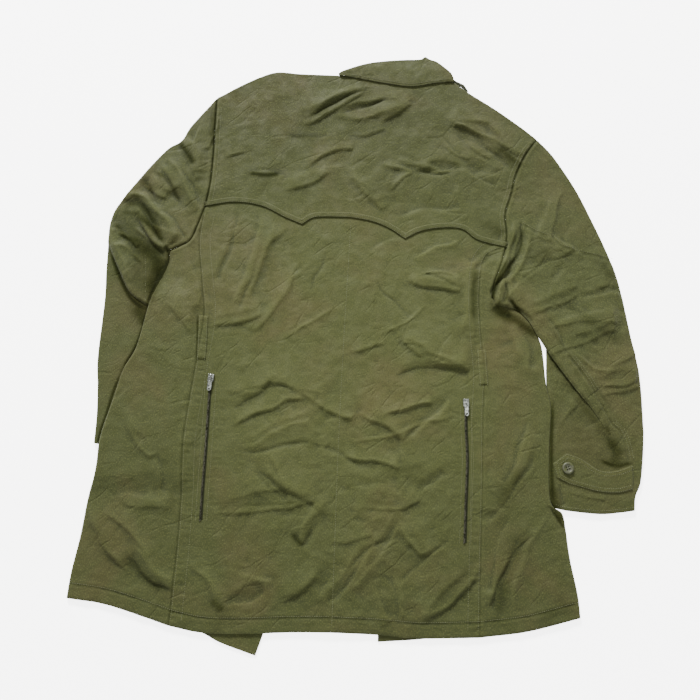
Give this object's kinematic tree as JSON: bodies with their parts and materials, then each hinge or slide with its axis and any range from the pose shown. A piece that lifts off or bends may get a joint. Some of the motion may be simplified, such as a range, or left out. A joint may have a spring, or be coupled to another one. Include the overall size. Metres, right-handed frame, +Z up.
{
  "type": "lined field parka laid flat",
  "caption": "Thigh-length lined field parka lying flat with its back up: shaped yoke, shirt collar, slanted sleeves with a buttoned cuff tab and a zip on each side of the back.",
  "frame": {"origin": "centre of the laid garment's outline, on the surface it lies on", "axes": "+X to the picture's right across the garment, +Y from the hem to the collar, +Z up from the surface"},
  "size_m": [0.8414, 0.9394, 0.0137],
  "materials": {
    "shell": "olive cotton sateen, worn and lightly creased",
    "shell_inside": "darker olive cotton in shade",
    "zip_tape": "dark woven tape with dark metal teeth",
    "zip_metal": "bright cast zip alloy",
    "button": "moulded grey-olive plastic, four holes"
  },
  "bodies": {
    "garment": {"back_yoke": "shell", "yoke_band": "shell", "back_left": "shell", "back_right": "shell", "side_left": "shell", "side_right": "shell", "front_left": "shell", "front_right": "shell", "collar_fall": "shell", "collar_stand": "shell_inside", "sleeve_left_upper": "shell", "sleeve_left_forearm": "shell", "sleeve_left_front": "shell", "sleeve_right_upper": "shell", "sleeve_right_forearm": "shell", "sleeve_right_front": "shell", "cuff_tab": "shell", "cuff_button": "button", "seam_strip_left": "shell", "seam_strip_right": "shell", "zip_chain_left": "zip_tape", "zip_chain_right": "zip_tape", "zip_slider_left": "zip_metal", "zip_slider_right": "zip_metal"},
    "pull_left": {"zip_pull_left": "zip_metal"},
    "pull_right": {"zip_pull_right": "zip_metal"}
  },
  "joints": [
    {"name": "left_pull_swing", "type": "hinge", "parent": "garment", "child": "pull_left", "pos_m": [-0.228, -0.076, 0.01051], "axis": [-0.9925, 0.1219, 0], "range_deg": [0, 160]},
    {"name": "right_pull_swing", "type": "hinge", "parent": "garment", "child": "pull_right", "pos_m": [0.156, -0.114, 0.0104], "axis": [-0.9994, -0.0349, 0], "range_deg": [0, 160]}
  ]
}
